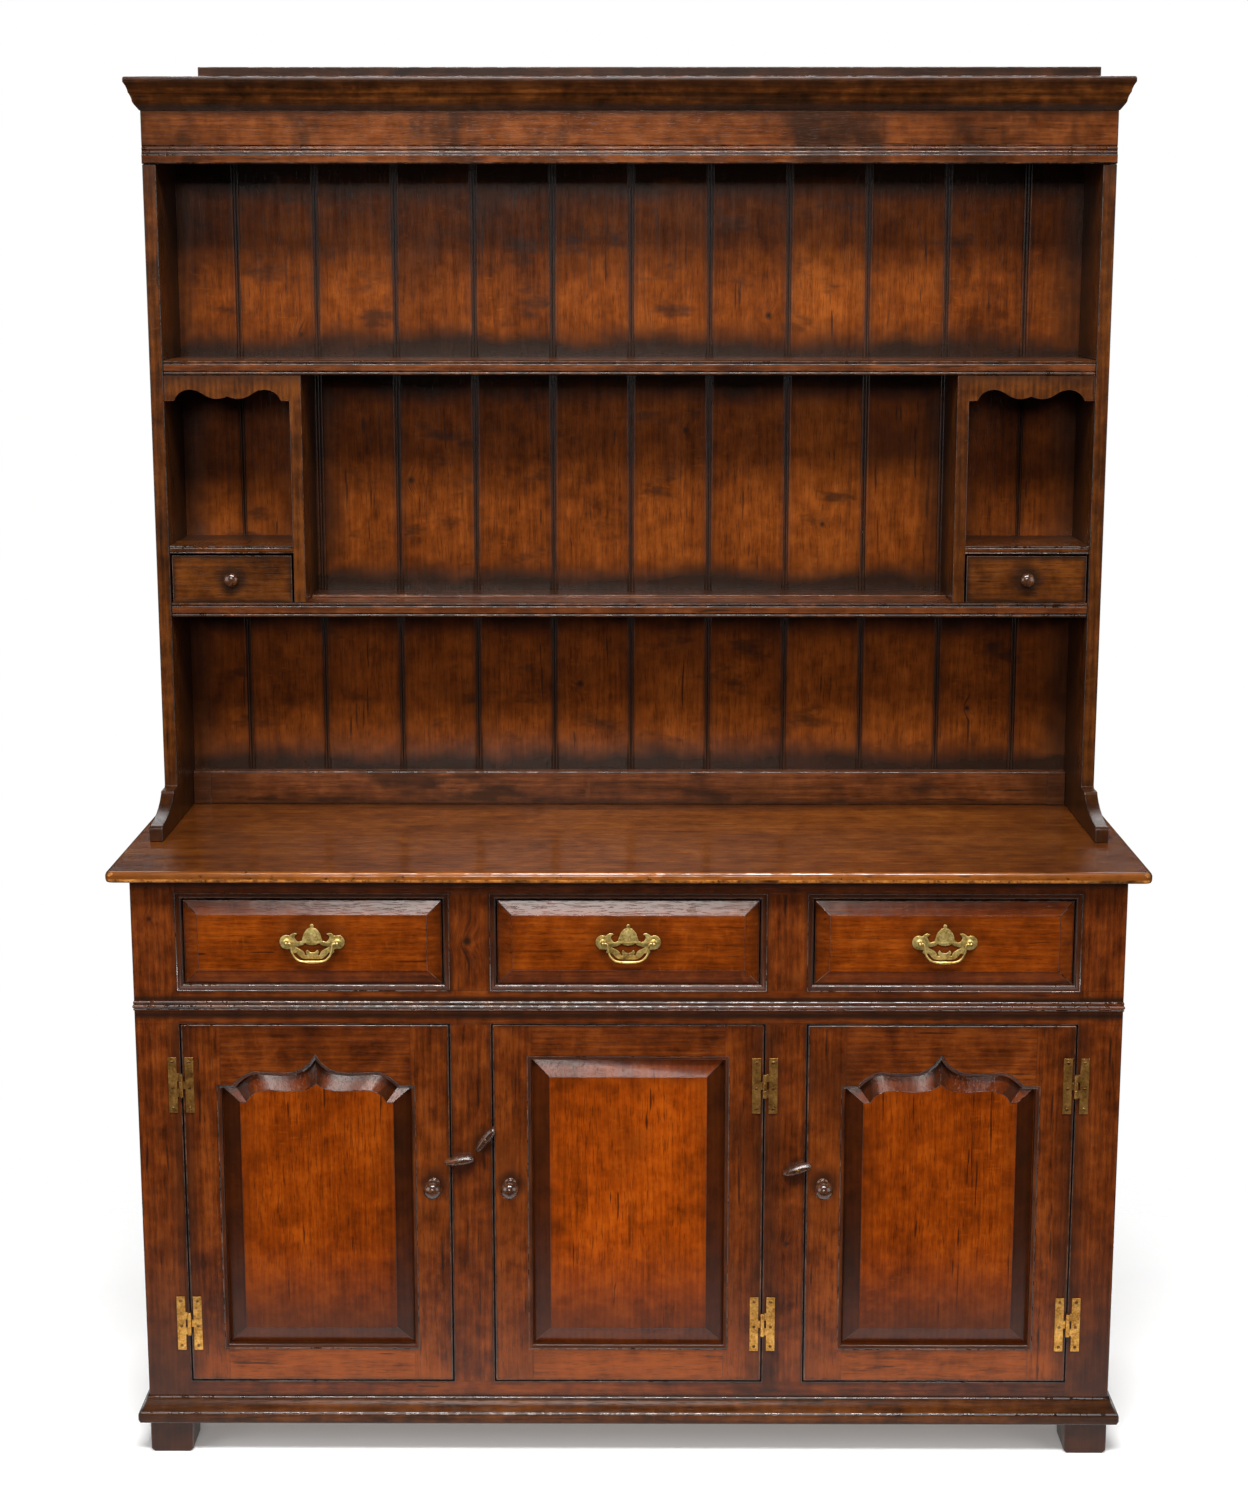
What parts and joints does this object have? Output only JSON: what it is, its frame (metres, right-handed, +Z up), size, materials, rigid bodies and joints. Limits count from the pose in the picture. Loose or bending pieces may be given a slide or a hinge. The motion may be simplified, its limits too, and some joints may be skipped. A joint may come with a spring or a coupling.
{
  "type": "welsh dresser",
  "caption": "Tall wooden dresser: a plate rack with shelves and small spice boxes stands on a base with drawers over panelled cupboard doors that open on H hinges.",
  "frame": {"origin": "on the floor, under the middle of the whole piece in width and depth", "axes": "+X to the right as seen from the front, +Y to the back, +Z up; the drawers and doors face -Y"},
  "size_m": [1.524, 0.508, 2.09],
  "materials": {
    "stained_oak": "dark red-brown stained oak with a waxed sheen, worn lighter at the edges",
    "inside_oak": "plain unpolished oak boards inside and behind",
    "turned_oak": "dark polished turned and carved wood",
    "hinge_brass": "dull yellow brass with a brown patina",
    "handle_brass": "rubbed brass, brighter on the raised edges"
  },
  "bodies": {
    "carcass": {"worktop": "stained_oak", "face_frame": "stained_oak", "plinth_moulding": "stained_oak", "left_end": "stained_oak", "right_end": "stained_oak", "base_back": "inside_oak", "base_floor": "inside_oak", "cupboard_shelf": "inside_oak", "drawer_frame": "inside_oak", "rack_left_side": "stained_oak", "rack_right_side": "stained_oak", "rack_top": "inside_oak", "frieze": "stained_oak", "cornice": "stained_oak", "upper_shelf": "stained_oak", "lower_shelf": "stained_oak", "rack_back_boards": "stained_oak", "foot_rail": "stained_oak", "left_spice_box": "stained_oak", "right_spice_box": "stained_oak", "left_upper_frame_leaf": "hinge_brass", "left_lower_frame_leaf": "hinge_brass", "middle_upper_frame_leaf": "hinge_brass", "middle_lower_frame_leaf": "hinge_brass", "right_upper_frame_leaf": "hinge_brass", "right_lower_frame_leaf": "hinge_brass"},
    "left_door": {"left_door_frame": "stained_oak", "left_door_panel": "stained_oak", "left_door_knob": "turned_oak", "left_upper_door_leaf": "hinge_brass", "left_lower_door_leaf": "hinge_brass"},
    "left_button": {"left_turn_button": "turned_oak"},
    "left_drawer": {"left_drawer_front": "stained_oak", "left_drawer_box": "inside_oak", "left_handle_backplate": "handle_brass"},
    "left_bail": {"left_handle_bail": "handle_brass"},
    "middle_door": {"middle_door_frame": "stained_oak", "middle_door_panel": "stained_oak", "middle_door_knob": "turned_oak", "middle_upper_door_leaf": "hinge_brass", "middle_lower_door_leaf": "hinge_brass"},
    "middle_button": {"middle_turn_button": "turned_oak"},
    "middle_drawer": {"middle_drawer_front": "stained_oak", "middle_drawer_box": "inside_oak", "middle_handle_backplate": "handle_brass"},
    "middle_bail": {"middle_handle_bail": "handle_brass"},
    "right_door": {"right_door_frame": "stained_oak", "right_door_panel": "stained_oak", "right_door_knob": "turned_oak", "right_upper_door_leaf": "hinge_brass", "right_lower_door_leaf": "hinge_brass"},
    "right_button": {"right_turn_button": "turned_oak"},
    "right_drawer": {"right_drawer_front": "stained_oak", "right_drawer_box": "inside_oak", "right_handle_backplate": "handle_brass"},
    "right_bail": {"right_handle_bail": "handle_brass"},
    "left_spice_drawer": {"left_spice_drawer": "stained_oak", "left_spice_knob": "turned_oak"},
    "right_spice_drawer": {"right_spice_drawer": "stained_oak", "right_spice_knob": "turned_oak"}
  },
  "joints": [
    {"name": "left_drawer_slide", "type": "slide", "parent": "carcass", "child": "left_drawer", "axis": [0, -1, 0], "range_m": [0, 0.33]},
    {"name": "left_bail_swing", "type": "hinge", "parent": "left_drawer", "child": "left_bail", "pos_m": [-0.4655, -0.221, 0.81065], "axis": [-1, 0, 0], "range_deg": [0, 120]},
    {"name": "middle_drawer_slide", "type": "slide", "parent": "carcass", "child": "middle_drawer", "axis": [0, -1, 0], "range_m": [0, 0.33]},
    {"name": "middle_bail_swing", "type": "hinge", "parent": "middle_drawer", "child": "middle_bail", "pos_m": [0, -0.221, 0.81065], "axis": [-1, 0, 0], "range_deg": [0, 120]},
    {"name": "right_drawer_slide", "type": "slide", "parent": "carcass", "child": "right_drawer", "axis": [0, -1, 0], "range_m": [0, 0.33]},
    {"name": "right_bail_swing", "type": "hinge", "parent": "right_drawer", "child": "right_bail", "pos_m": [0.4655, -0.221, 0.81065], "axis": [-1, 0, 0], "range_deg": [0, 120]},
    {"name": "left_door_hinge", "type": "hinge", "parent": "carcass", "child": "left_door", "pos_m": [-0.666, -0.2156, 0.4], "axis": [0, 0, -1], "range_deg": [0, 170]},
    {"name": "middle_door_hinge", "type": "hinge", "parent": "carcass", "child": "middle_door", "pos_m": [0.2033, -0.2156, 0.4], "axis": [0, 0, 1], "range_deg": [0, 145]},
    {"name": "right_door_hinge", "type": "hinge", "parent": "carcass", "child": "right_door", "pos_m": [0.666, -0.2156, 0.4], "axis": [0, 0, 1], "range_deg": [0, 170]},
    {"name": "left_button_turn", "type": "hinge", "parent": "carcass", "child": "left_button", "pos_m": [-0.25275, -0.212, 0.4738], "axis": [0, -1, 0], "continuous": true},
    {"name": "middle_button_turn", "type": "hinge", "parent": "carcass", "child": "middle_button", "pos_m": [-0.21295, -0.212, 0.5072], "axis": [0, -1, 0], "continuous": true},
    {"name": "right_button_turn", "type": "hinge", "parent": "carcass", "child": "right_button", "pos_m": [0.25295, -0.212, 0.4605], "axis": [0, -1, 0], "continuous": true},
    {"name": "left_spice_drawer_slide", "type": "slide", "parent": "carcass", "child": "left_spice_drawer", "axis": [0, -1, 0], "range_m": [0, 0.13]},
    {"name": "right_spice_drawer_slide", "type": "slide", "parent": "carcass", "child": "right_spice_drawer", "axis": [0, -1, 0], "range_m": [0, 0.13]}
  ]
}
